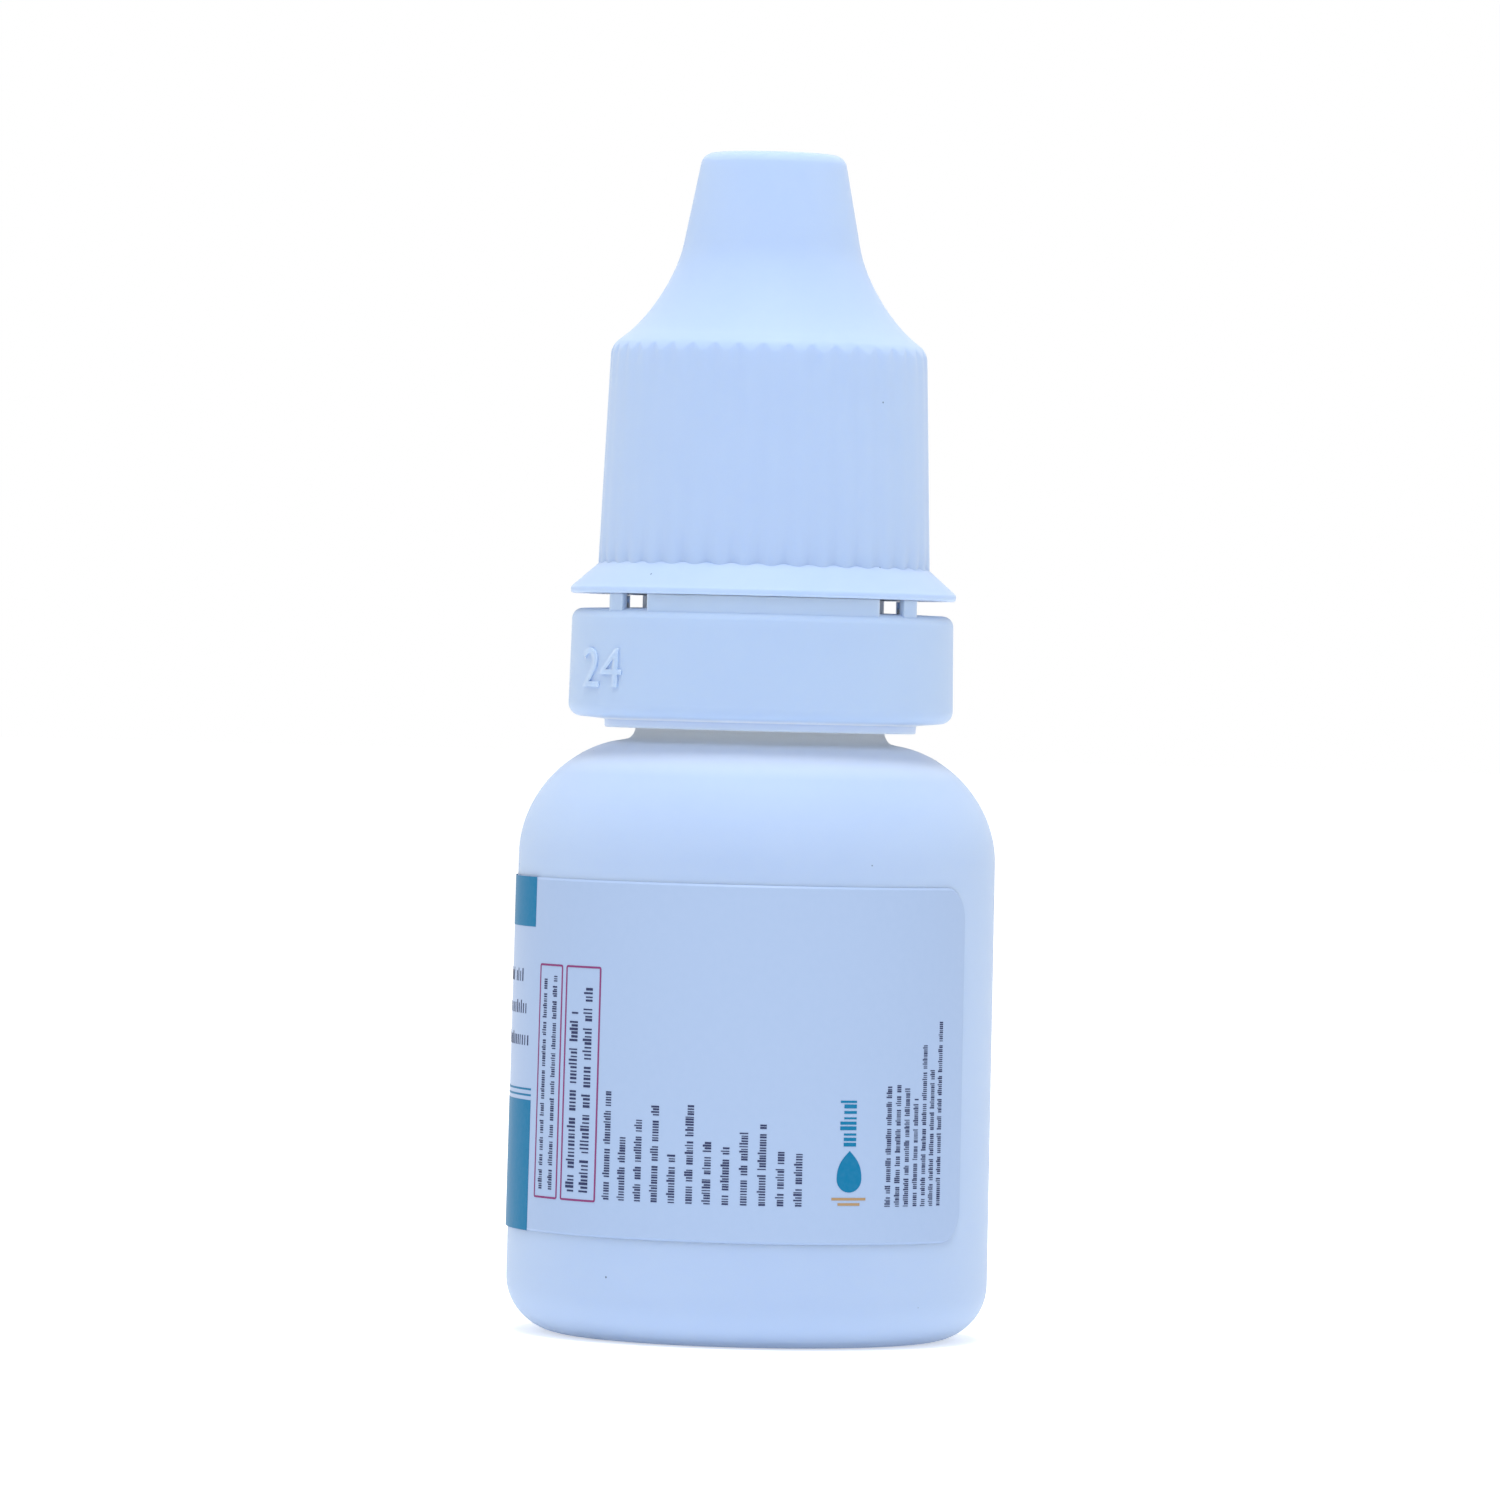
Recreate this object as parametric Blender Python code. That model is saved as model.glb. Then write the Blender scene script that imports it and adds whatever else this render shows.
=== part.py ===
"""A round eye drop bottle: blow-moulded bottle, pressed-in dropper plug, tear-off tamper ring,
fluted screw cap and wrap label. Metres, +Z up, with the origin at the middle of the base."""

import math
from typing import NamedTuple

import bmesh
import bpy
from mathutils import Matrix, Vector

MM = 0.001

# Bottle
BODY_RADIUS = 11.20 * MM
BODY_TAPER = 0.16 * MM
BOTTLE_WALL = 0.90 * MM
BASE_FILLET = 2.60 * MM
FOOT_WIDTH = 1.10 * MM
BASE_RECESS = 0.80 * MM
RECESS_RUN = 1.10 * MM
SHOULDER_HEIGHT = 26.90 * MM
SHOULDER_RISE = 0.75 * MM
SHOULDER_FILLET = 5.40 * MM
NECK_ROOT_FILLET = 0.65 * MM
NECK_STEP = 0.40 * MM
NECK_HEIGHT = 15.36 * MM
NECK_WALL = 0.80 * MM
NECK_LIP_FILLET = 0.25 * MM
NECK_INNER_FILLET = 1.00 * MM
BEAD_RISE = 3.36 * MM
BEAD_HEIGHT = 0.90 * MM
BEAD_REACH = 1.05 * MM
BEAD_LAND = 0.30 * MM

# Dropper plug, pressed into the neck
SEAT_GAP = 0.05 * MM
PLUG_LENGTH = 6.00 * MM
PLUG_CLEARANCE = 0.25 * MM
PLUG_WALL = 1.00 * MM
PLUG_TAPER = 0.25 * MM
SEAL_CLEARANCE = 0.08 * MM
SEAL_HEIGHT = 0.70 * MM
FLANGE_HEIGHT = 1.00 * MM
FLANGE_INSET = 0.25 * MM
FLANGE_FILLET = 0.25 * MM
NOZZLE_LENGTH = 9.20 * MM
NOZZLE_RADIUS = 3.00 * MM
NOZZLE_TIP_RADIUS = 1.50 * MM
NOZZLE_TIP_FILLET = 0.45 * MM
NOZZLE_ROOT_FILLET = 0.80 * MM
NOZZLE_WALL = 1.00 * MM
MOUTH_RADIUS = 0.65 * MM
MOUTH_DEPTH = 1.20 * MM
ORIFICE_RADIUS = 0.25 * MM
ORIFICE_LENGTH = 0.80 * MM
FUNNEL_LENGTH = 0.60 * MM

# Tamper ring, loose on the neck under its bead
RING_RADIUS = 8.97 * MM
RING_WALL = 2.82 * MM
RING_DRAFT = 0.09 * MM
RING_HEIGHT = 5.58 * MM
RING_LIFT = 0.52 * MM
RING_CLEARANCE = 0.35 * MM
RING_TOP_FILLET = 0.50 * MM
RING_FOOT_FILLET = 0.60 * MM
UNDERSIDE_RISE = 0.55 * MM
COLLAR_REACH = 1.10 * MM
COLLAR_DROP = 0.38 * MM
COLLAR_FILLET = 0.10 * MM
DECK_FALL = 0.08 * MM
BEAD_CLEARANCE = 0.30 * MM
BEAD_PLAY = 0.40 * MM
TEAR_GAP = 0.62 * MM
BREAK_GAP = 0.06 * MM
BRIDGE_COUNT = 8
BRIDGE_WIDTH = 1.80 * MM
BRIDGE_THICKNESS = 0.50 * MM
BRIDGE_INSET = 0.10 * MM
BRIDGE_FOOT = 0.23 * MM
BRIDGE_SINK = 0.40 * MM

# Cap
THREAD_ROOM = 1.00 * MM
CAP_WALL = 0.96 * MM
CAP_DRAFT = 0.36 * MM
CAP_HEADROOM = 1.15 * MM
CAP_SHOULDER_FILLET = 2.00 * MM
CAP_SHOULDER_WALL = 0.72 * MM
FLANGE_LIP = 0.30 * MM
FLANGE_SLOPE_RISE = 1.10 * MM
WAIST_CLEARANCE = 0.65 * MM
WAIST_FILLET = 7.20 * MM
WAIST_DROP = 0.50 * MM
NOSE_CLEARANCE = 1.00 * MM
NOSE_WALL = 0.80 * MM
NOSE_FILLET = 0.60 * MM
TIP_ROOM = 0.75 * MM
TOP_WALL = 0.97 * MM
TOP_DOME = 0.15 * MM
PIN_CLEARANCE = 0.20 * MM
PIN_REACH = 0.75 * MM
FLUTE_COUNT = 40
FLUTE_DEPTH = 0.16 * MM
FLUTE_TOP_DEPTH = 0.05 * MM

# Label
LABEL_FOOT = 4.90 * MM
LABEL_HEIGHT = 16.30 * MM
LABEL_CORNER = 1.50 * MM
LABEL_GAP = 0.03 * MM
LABEL_THICKNESS = 0.09 * MM
LABEL_FIRST_FACET = 6
LABEL_FACETS = 49

# Shares of the sizes that they follow
WAIST_HEIGHT_SHARE = 0.24
PIN_TIP_SHARE = 0.75
GROOVE_NARROWING_SHARE = 1.25
SEAL_PLACE_SHARES = (0.12, 0.62)

# Fineness of the mesh
BOTTLE_STEPS = 60
PLUG_STEPS = 40
CAP_STEPS = 4 * FLUTE_COUNT
ARC_SAG = 0.03 * MM
SHARP_ANGLE = math.radians(30)
MERGE = 0.0005 * MM

# Heights that the pieces share
NECK_ROOT = SHOULDER_HEIGHT + SHOULDER_RISE
NECK_TOP = NECK_ROOT + NECK_HEIGHT
BEAD_FOOT = NECK_ROOT + BEAD_RISE
RING_FOOT = NECK_ROOT + RING_LIFT
CAP_FOOT = RING_FOOT + RING_HEIGHT + TEAR_GAP
PLUG_SEAT = NECK_TOP + SEAT_GAP
NOZZLE_FOOT = PLUG_SEAT + FLANGE_HEIGHT
NOZZLE_TIP = NOZZLE_FOOT + NOZZLE_LENGTH

# Radii that the pieces share. The neck is sized for the ring, and the cap and the plug for the neck
RING_BORE = RING_RADIUS - RING_WALL
NECK_ROOT_RADIUS = RING_BORE - RING_CLEARANCE
NECK_RADIUS = NECK_ROOT_RADIUS - NECK_STEP
NECK_BORE = NECK_RADIUS - NECK_WALL
BEAD_RADIUS = NECK_RADIUS + BEAD_REACH
CAP_BORE = NECK_RADIUS + THREAD_ROOM


class Corner(NamedTuple):
    """A corner of a turned outline. Where keep is more than 1, only each keep-th meridian stays beside it."""

    radius: float
    height: float
    fillet: float = 0.0
    keep: int = 1


def rounded(corners, closed=False):
    """The outline through the corners, with each fillet as an arc: a list of corners that have no fillet.
    Two fillets that don't both fit on the side between them shrink until they do."""
    count = len(corners)
    points = [Vector((corner.radius, corner.height)) for corner in corners]
    sides = [points[(i + 1) % count] - point for i, point in enumerate(points)]
    reach = [0.0] * count
    for i in range(count) if closed else range(1, count - 1):
        reach[i] = corners[i].fillet / math.tan(sides[i - 1].angle(-sides[i]) / 2)
    room = [side.length / max(reach[i] + reach[(i + 1) % count], side.length) for i, side in enumerate(sides)]
    outline = []
    for i, point in enumerate(points):
        tangent = reach[i] * min(room[i - 1], room[i])
        if not tangent:
            outline.append(Corner(*point, 0.0, corners[i].keep))
            continue
        start = point - sides[i - 1].normalized() * tangent
        end = point + sides[i].normalized() * tangent
        middle = (start + end) / 2 - point
        centre = point + middle * (tangent**2 / middle.length_squared)
        first, last = (math.atan2(*(side - centre).yx) for side in (start, end))
        sweep = math.remainder(last - first, math.tau)
        radius = (start - centre).length
        steps = max(2, math.ceil(abs(sweep) / (2 * math.acos(1 - min(ARC_SAG / radius, 1)))))
        for k in range(steps + 1):
            angle = first + sweep * k / steps
            place = centre + radius * Vector((math.cos(angle), math.sin(angle)))
            outline.append(Corner(*place, 0.0, corners[i].keep))
    return outline


def turned(corners, steps, closed=False):
    """The corners' outline turned once round Z, as a closed bmesh. An open outline has its ends on the axis."""
    outline = rounded(corners, closed)
    mesh = bmesh.new()
    verts = [mesh.verts.new((point.radius, 0, point.height)) for point in outline]
    ends = list(zip(verts, verts[1:])) + ([(verts[-1], verts[0])] if closed else [])
    edges = [mesh.edges.new(pair) for pair in ends]
    bmesh.ops.spin(mesh, geom=verts + edges, axis=(0, 0, 1), angle=math.tau, steps=steps, use_merge=True)
    bmesh.ops.remove_doubles(mesh, verts=mesh.verts, dist=MERGE)
    bmesh.ops.recalc_face_normals(mesh, faces=mesh.faces)
    thin_out(mesh, outline, steps)
    return mesh


def thin_out(mesh, outline, steps):
    """Dissolves the meridians that the outline's corners don't keep."""
    places = [Vector((point.radius, point.height)) for point in outline]
    keeps = {}
    for vert in mesh.verts:
        here = Vector((vert.co.xy.length, vert.co.z))
        keeps[vert] = outline[min(range(len(places)), key=lambda i: (places[i] - here).length_squared)].keep
    spare = []
    for edge in mesh.edges:
        inner, outer = sorted(edge.verts, key=lambda vert: vert.co.xy.length)
        angle, other = (math.atan2(vert.co.y, vert.co.x) for vert in (outer, inner))
        along_hoop = abs(math.remainder(angle - other, math.tau)) > math.pi / steps
        if along_hoop and inner.co.xy.length > MERGE:
            continue
        if round(angle / math.tau * steps) % max(keeps[inner], keeps[outer]):
            spare.append(edge)
    bmesh.ops.dissolve_edges(mesh, edges=spare, use_verts=True)


def linear(code):
    """A Principled base colour from an sRGB hex code."""
    channels = (int(code[i : i + 2], 16) / 255 for i in (0, 2, 4))
    return [c / 12.92 if c <= 0.04045 else ((c + 0.055) / 1.055) ** 2.4 for c in channels] + [1.0]


def material(name, code, roughness):
    finish = bpy.data.materials.new(name)
    finish.use_nodes = True
    shader = finish.node_tree.nodes["Principled BSDF"]
    shader.inputs["Base Color"].default_value = linear(code)
    shader.inputs["Roughness"].default_value = roughness
    shader.inputs["Metallic"].default_value = 0.0
    return finish


def piece(name, mesh, finish, parent=None, height=0.0):
    """Links the mesh as an object whose origin is on the bottle's axis, height above its parent's."""
    data = bpy.data.meshes.new(name)
    mesh.to_mesh(data)
    mesh.free()
    data.shade_smooth()
    data.set_sharp_from_angle(angle=SHARP_ANGLE)
    data.materials.append(finish)
    thing = bpy.data.objects.new(name, data)
    bpy.context.scene.collection.objects.link(thing)
    thing.parent = parent
    thing.location.z = height
    return thing


def wall_radius(height):
    """The bottle's outer radius on its straight side, which leans in towards the shoulder."""
    return BODY_RADIUS - BODY_TAPER * height / SHOULDER_HEIGHT


def make_bottle():
    foot_inner = BODY_RADIUS - BASE_FILLET - FOOT_WIDTH
    shoulder_radius = wall_radius(SHOULDER_HEIGHT)
    inner_fillet = SHOULDER_FILLET - BOTTLE_WALL
    corners = [
        Corner(0, BASE_RECESS),
        Corner(foot_inner - RECESS_RUN, BASE_RECESS),
        Corner(foot_inner, 0),
        Corner(BODY_RADIUS, 0, BASE_FILLET),
        Corner(shoulder_radius, SHOULDER_HEIGHT, SHOULDER_FILLET),
        Corner(NECK_ROOT_RADIUS, NECK_ROOT, NECK_ROOT_FILLET),
        Corner(NECK_ROOT_RADIUS, BEAD_FOOT),
        Corner(BEAD_RADIUS, BEAD_FOOT),
        Corner(BEAD_RADIUS, BEAD_FOOT + BEAD_LAND),
        Corner(NECK_RADIUS, BEAD_FOOT + BEAD_HEIGHT),
        Corner(NECK_RADIUS, NECK_TOP, NECK_LIP_FILLET),
        Corner(NECK_BORE, NECK_TOP, keep=2),
        Corner(NECK_BORE, NECK_ROOT - BOTTLE_WALL, NECK_INNER_FILLET, keep=2),
        Corner(shoulder_radius - BOTTLE_WALL, SHOULDER_HEIGHT - BOTTLE_WALL, inner_fillet, keep=2),
        Corner(BODY_RADIUS - BOTTLE_WALL, BOTTLE_WALL, BASE_FILLET - BOTTLE_WALL, keep=2),
        Corner(foot_inner, BOTTLE_WALL, keep=2),
        Corner(foot_inner - RECESS_RUN, BASE_RECESS + BOTTLE_WALL, keep=2),
        Corner(0, BASE_RECESS + BOTTLE_WALL, keep=2),
    ]
    return piece("bottle", turned(corners, BOTTLE_STEPS), material("bottle_ldpe", "B6CDF4", 0.45))


def make_dropper_plug(bottle):
    """Heights here are above the seat on the neck's lip."""
    barrel = NECK_BORE - PLUG_CLEARANCE
    seal = NECK_BORE - SEAL_CLEARANCE
    tip = FLANGE_HEIGHT + NOZZLE_LENGTH
    throat = tip - MOUTH_DEPTH - ORIFICE_LENGTH
    funnel = throat - FUNNEL_LENGTH
    lean = (NOZZLE_RADIUS - NOZZLE_TIP_RADIUS) / NOZZLE_LENGTH
    funnel_radius = NOZZLE_TIP_RADIUS + lean * (tip - funnel) - NOZZLE_WALL
    corners = [
        Corner(ORIFICE_RADIUS, throat, keep=4),
        Corner(ORIFICE_RADIUS, throat + ORIFICE_LENGTH, keep=4),
        Corner(MOUTH_RADIUS, tip, keep=2),
        Corner(NOZZLE_TIP_RADIUS, tip, NOZZLE_TIP_FILLET),
        Corner(NOZZLE_RADIUS, FLANGE_HEIGHT, NOZZLE_ROOT_FILLET),
        Corner(NECK_RADIUS - FLANGE_INSET, FLANGE_HEIGHT, FLANGE_FILLET),
        Corner(NECK_RADIUS - FLANGE_INSET, 0),
        Corner(barrel, 0),
    ]
    for share in SEAL_PLACE_SHARES:
        top = -PLUG_LENGTH * share
        corners += [
            Corner(barrel, top),
            Corner(seal, top - SEAL_HEIGHT / 2),
            Corner(barrel, top - SEAL_HEIGHT),
        ]
    corners += [
        Corner(barrel - PLUG_TAPER, -PLUG_LENGTH),
        Corner(barrel - PLUG_WALL, -PLUG_LENGTH, keep=2),
        Corner(barrel - PLUG_WALL, 0, keep=2),
        Corner(NOZZLE_RADIUS - NOZZLE_WALL, FLANGE_HEIGHT, keep=2),
        Corner(funnel_radius, funnel, keep=2),
    ]
    mesh = turned(corners, PLUG_STEPS, closed=True)
    return piece("dropper_plug", mesh, material("dropper_ldpe", "D3E2F7", 0.38), bottle, PLUG_SEAT)


def make_bridges():
    """The frangible bridges: posts with a foot towards the neck, from inside the ring's deck to the cap."""
    inner = CAP_BORE + BRIDGE_INSET
    outer = inner + BRIDGE_THICKNESS
    foot = RING_BORE + BRIDGE_INSET
    low, high = RING_HEIGHT - BRIDGE_SINK, RING_HEIGHT + TEAR_GAP - BREAK_GAP
    step = RING_HEIGHT + BRIDGE_FOOT
    profile = [(foot, low), (outer, low), (outer, high), (inner, high), (inner, step), (foot, step)]
    mesh = bmesh.new()
    for k in range(BRIDGE_COUNT):
        near = [mesh.verts.new((radius, -BRIDGE_WIDTH / 2, height)) for radius, height in profile]
        made = bmesh.ops.extrude_face_region(mesh, geom=[mesh.faces.new(near)])["geom"]
        far = [item for item in made if isinstance(item, bmesh.types.BMVert)]
        bmesh.ops.translate(mesh, verts=far, vec=(0, BRIDGE_WIDTH, 0))
        turn = Matrix.Rotation(math.tau * k / BRIDGE_COUNT, 3, "Z")
        bmesh.ops.rotate(mesh, verts=near + far, cent=(0, 0, 0), matrix=turn)
    bmesh.ops.recalc_face_normals(mesh, faces=mesh.faces)
    return mesh


def make_tamper_ring(bottle):
    """Heights here are above the ring's own foot."""
    groove = BEAD_RADIUS + BEAD_CLEARANCE
    groove_foot = BEAD_FOOT - BEAD_PLAY - RING_FOOT
    groove_top = BEAD_FOOT + BEAD_HEIGHT + BEAD_PLAY - RING_FOOT
    corners = [
        Corner(RING_BORE, 0),
        Corner(RING_BORE + COLLAR_REACH, 0, COLLAR_FILLET),
        Corner(RING_BORE + COLLAR_REACH, COLLAR_DROP),
        Corner(RING_RADIUS, UNDERSIDE_RISE, RING_FOOT_FILLET),
        Corner(RING_RADIUS - RING_DRAFT, RING_HEIGHT - DECK_FALL, RING_TOP_FILLET),
        Corner(RING_BORE, RING_HEIGHT),
        Corner(RING_BORE, groove_top),
        Corner(groove, groove_top),
        Corner(groove, groove_foot),
        Corner(RING_BORE, groove_foot),
    ]
    finish = material("ring_hdpe", "B4CBF3", 0.42)
    ring = piece("tamper_ring", turned(corners, BOTTLE_STEPS, closed=True), finish, bottle, RING_FOOT)
    bridges = piece("bridge_posts", make_bridges(), finish, ring)
    bridges.hide_render = True
    bridges.display_type = "WIRE"
    union = ring.modifiers.new("bridges", "BOOLEAN")
    union.operation = "UNION"
    union.object = bridges
    return ring


def cut_flutes(mesh, foot, top):
    """Draws the skirt in along shallow grooves, which fade from its foot on the flange up into the shoulder.
    foot and top are the (radius, height) of the skirt's ends. A groove's foot climbs the flange's slope."""
    lean = (top.x - foot.x) / (top.y - foot.y)
    slope = FLANGE_SLOPE_RISE / (RING_RADIUS - foot.x)
    for vert in mesh.verts:
        radius = vert.co.xy.length
        if vert.co.z < foot.y - MERGE or radius < CAP_BORE + FLUTE_DEPTH:
            continue
        angle = math.atan2(vert.co.y, vert.co.x)
        groove = ((1 - math.sin(FLUTE_COUNT * angle)) / 2) ** GROOVE_NARROWING_SHARE
        climb = min((vert.co.z - foot.y) / (top.y - foot.y), 1)
        depth = FLUTE_DEPTH + (FLUTE_TOP_DEPTH - FLUTE_DEPTH) * climb
        limit = foot.x + lean * (vert.co.z - foot.y) - depth * groove
        if radius <= limit:
            continue
        if vert.co.z < foot.y + MERGE:
            vert.co.z += slope * (radius - limit)
        vert.co.xy *= limit / radius


def make_cap(ring):
    """Heights here are above the underside of the cap's flange."""
    bore_top = NOZZLE_FOOT + CAP_HEADROOM - CAP_FOOT
    roof = NOZZLE_TIP + TIP_ROOM - CAP_FOOT
    skirt_foot = Vector((CAP_BORE + CAP_WALL + CAP_DRAFT, FLANGE_LIP + FLANGE_SLOPE_RISE))
    skirt_top = Vector((CAP_BORE + CAP_WALL, bore_top + CAP_SHOULDER_WALL))
    waist_bore = NOZZLE_RADIUS + WAIST_CLEARANCE
    nose_bore = NOZZLE_TIP_RADIUS + NOSE_CLEARANCE
    nose_edge = roof + TOP_WALL
    waist = skirt_top.y + WAIST_HEIGHT_SHARE * (nose_edge - skirt_top.y)
    pin_radius = MOUTH_RADIUS - PIN_CLEARANCE
    corners = [
        Corner(0, nose_edge + TOP_DOME, keep=2),
        Corner(nose_bore + NOSE_WALL, nose_edge, NOSE_FILLET, keep=2),
        Corner(waist_bore + CAP_WALL, waist, WAIST_FILLET, keep=2),
        Corner(*skirt_top, CAP_SHOULDER_FILLET),
        Corner(*skirt_foot),
        Corner(RING_RADIUS, FLANGE_LIP, keep=2),
        Corner(RING_RADIUS, 0, keep=2),
        Corner(CAP_BORE, 0, keep=4),
        Corner(CAP_BORE, bore_top, keep=4),
        Corner(waist_bore, waist - WAIST_DROP, WAIST_FILLET, keep=4),
        Corner(nose_bore, roof, keep=4),
        Corner(pin_radius, roof, keep=8),
        Corner(pin_radius * PIN_TIP_SHARE, roof - TIP_ROOM - PIN_REACH, keep=8),
        Corner(0, roof - TIP_ROOM - PIN_REACH, keep=8),
    ]
    mesh = turned(corners, CAP_STEPS)
    cut_flutes(mesh, skirt_foot, skirt_top)
    return piece("cap", mesh, material("cap_hdpe", "B7CEF6", 0.40), ring, RING_HEIGHT + TEAR_GAP)


def make_label(bottle):
    """A flat sheet with rounded corners, cut along the bottle's facets and wrapped on them."""
    facet = math.tau / BOTTLE_STEPS
    chord = 2 * BODY_RADIUS * math.sin(facet / 2)
    mesh = bmesh.new()
    ends = ((0, 0), (LABEL_FACETS * chord, 0), (LABEL_FACETS * chord, LABEL_HEIGHT), (0, LABEL_HEIGHT))
    corners = [mesh.verts.new((x, 0, LABEL_FOOT + z)) for x, z in ends]
    mesh.faces.new(corners)
    bmesh.ops.bevel(
        mesh, geom=corners, offset=LABEL_CORNER, segments=4, profile=0.5, affect="VERTICES", material=-1
    )
    for k in range(1, LABEL_FACETS):
        cut = mesh.verts[:] + mesh.edges[:] + mesh.faces[:]
        bmesh.ops.bisect_plane(mesh, geom=cut, dist=MERGE, plane_co=(k * chord, 0, 0), plane_no=(1, 0, 0))
    made = bmesh.ops.extrude_face_region(mesh, geom=mesh.faces[:])["geom"]
    outside = [item for item in made if isinstance(item, bmesh.types.BMVert)]
    bmesh.ops.translate(mesh, verts=outside, vec=(0, -LABEL_THICKNESS, 0))
    bmesh.ops.recalc_face_normals(mesh, faces=mesh.faces)
    for vert in mesh.verts:
        along, depth, height = vert.co
        k = min(int(along / chord), LABEL_FACETS - 1)
        radius = wall_radius(height) + LABEL_GAP - depth
        angles = ((LABEL_FIRST_FACET + k + end) * facet for end in (0, 1))
        left, right = (Vector((math.cos(a), math.sin(a))) * radius for a in angles)
        vert.co = (*left.lerp(right, along / chord - k), height)
    return piece("label", mesh, material("label_paper", "B2C8F0", 0.30), bottle)


def main():
    for thing in list(bpy.data.objects):
        bpy.data.objects.remove(thing)
    bottle = make_bottle()
    make_dropper_plug(bottle)
    make_label(bottle)
    ring = make_tamper_ring(bottle)
    make_cap(ring)


main()
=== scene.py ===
"""Eye drop bottle: the finished look of every piece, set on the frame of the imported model.

Metres, +Z up. The photograph looks along +Y, so the front of the bottle faces -Y.
"""

import logging
import math
import random
from abc import ABC, abstractmethod
from dataclasses import dataclass
from enum import Enum
from typing import Any, Callable, ClassVar, Sequence

import bmesh
import bpy
from bmesh.types import BMEdge, BMesh, BMFace, BMVert
from bpy.types import Material, NodeOutputs, NodeSocket, NodeTree, Object
from mathutils import Matrix, Vector


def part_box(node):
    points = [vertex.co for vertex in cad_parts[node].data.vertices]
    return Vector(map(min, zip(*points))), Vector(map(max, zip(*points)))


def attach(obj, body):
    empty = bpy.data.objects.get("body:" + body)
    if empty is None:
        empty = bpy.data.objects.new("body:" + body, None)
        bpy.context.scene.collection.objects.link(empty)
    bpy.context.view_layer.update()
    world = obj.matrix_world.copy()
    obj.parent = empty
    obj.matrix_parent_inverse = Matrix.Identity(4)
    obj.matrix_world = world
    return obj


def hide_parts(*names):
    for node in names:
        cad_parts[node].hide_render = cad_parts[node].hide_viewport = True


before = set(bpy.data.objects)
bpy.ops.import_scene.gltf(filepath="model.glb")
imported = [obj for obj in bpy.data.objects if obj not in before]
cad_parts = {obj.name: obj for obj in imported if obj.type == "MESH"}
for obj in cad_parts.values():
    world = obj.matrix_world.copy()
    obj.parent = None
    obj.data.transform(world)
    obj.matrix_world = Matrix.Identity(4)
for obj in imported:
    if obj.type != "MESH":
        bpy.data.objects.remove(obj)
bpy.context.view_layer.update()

MM = 0.001
WELD = 0.0005 * MM
ARC_SAG = 0.0015 * MM
SHARP_ANGLE = math.radians(32)
FLAT_ANGLE = math.radians(1)
SECTORS = 20
CORNER_FACETS = 8
DROP_SIDES = 48
FRONT = -math.pi / 2
WHITE = (1.0, 1.0, 1.0, 1.0)
# Name of the vertex layer that holds each place's share of painted light, where the deep places are painted
# paler
PAINTED_LIGHT_LAYER = "depth"
LOG = logging.getLogger("eye_drop_bottle")

# The left, right, lower and upper side of a rectangle
Sides = tuple[float, float, float, float]

# The print's mottle is finer than this. It is drawn coarser, so that it shows
INK_MOTTLE = 0.25 * MM
INK_THIN_SHARE = 0.93
INK_ROUGHNESS = 0.34
INK_SPECULAR = 0.02

THREAD_LEAD = 3.0 * MM
THREAD_ROOT = 1.05 * MM
THREAD_CREST = 0.45 * MM
THREAD_SINK = 0.15 * MM
THREAD_FADE_TURNS = 0.12
THREAD_STEPS = 120


def metres(*sizes: float) -> tuple[float, ...]:
    """Turn millimetres into metres."""
    return tuple(size * MM for size in sizes)


def linear(code: str) -> tuple[float, float, float, float]:
    """Turn an sRGB hex code into a linear colour.

    Args:
        code: Six hex digits.

    Returns:
        Red, green, blue and an alpha of 1.
    """
    channels = (int(code[i : i + 2], 16) / 255 for i in (0, 2, 4))
    red, green, blue = (c / 12.92 if c <= 0.04045 else ((c + 0.055) / 1.055) ** 2.4 for c in channels)
    return red, green, blue, 1.0


def add_node(tree: NodeTree, kind: str, inputs: dict[str | int, Any], **settings: Any) -> NodeOutputs:
    """Add a shader node, with its settings, its values and its links.

    Args:
        tree: The node tree that gets it.
        kind: Its type, without the word ShaderNode.
        inputs: By name or number, each input's value or the output that feeds it.
        settings: Its own properties.

    Returns:
        Its outputs.
    """
    node = tree.nodes.new("ShaderNode" + kind)
    for name, setting in settings.items():
        setattr(node, name, setting)
    for key, source in inputs.items():
        if isinstance(source, NodeSocket):
            tree.links.new(source, node.inputs[key])
        else:
            node.inputs[key].default_value = source
    return node.outputs


def shows_surround(tree: NodeTree) -> NodeSocket:
    """Tell the rays that show the surround, straight, mirrored or through glass, from those that light.

    Args:
        tree: The node tree that asks.

    Returns:
        An output that is 1 for a ray that shows it and 0 for the others.
    """
    path = add_node(tree, "LightPath", {})
    shows = path["Is Camera Ray"]
    for kind in ("Is Glossy Ray", "Is Transmission Ray"):
        shows = add_node(tree, "Math", {0: shows, 1: path[kind]}, operation="MAXIMUM")[0]
    return shows


def new_tree(name: str) -> tuple[Material, NodeTree]:
    """Start a material.

    Args:
        name: Its name.

    Returns:
        The material and its empty node tree.
    """
    material = bpy.data.materials.new(name)
    material.use_nodes = True
    material.node_tree.nodes.clear()
    return material, material.node_tree


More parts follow.
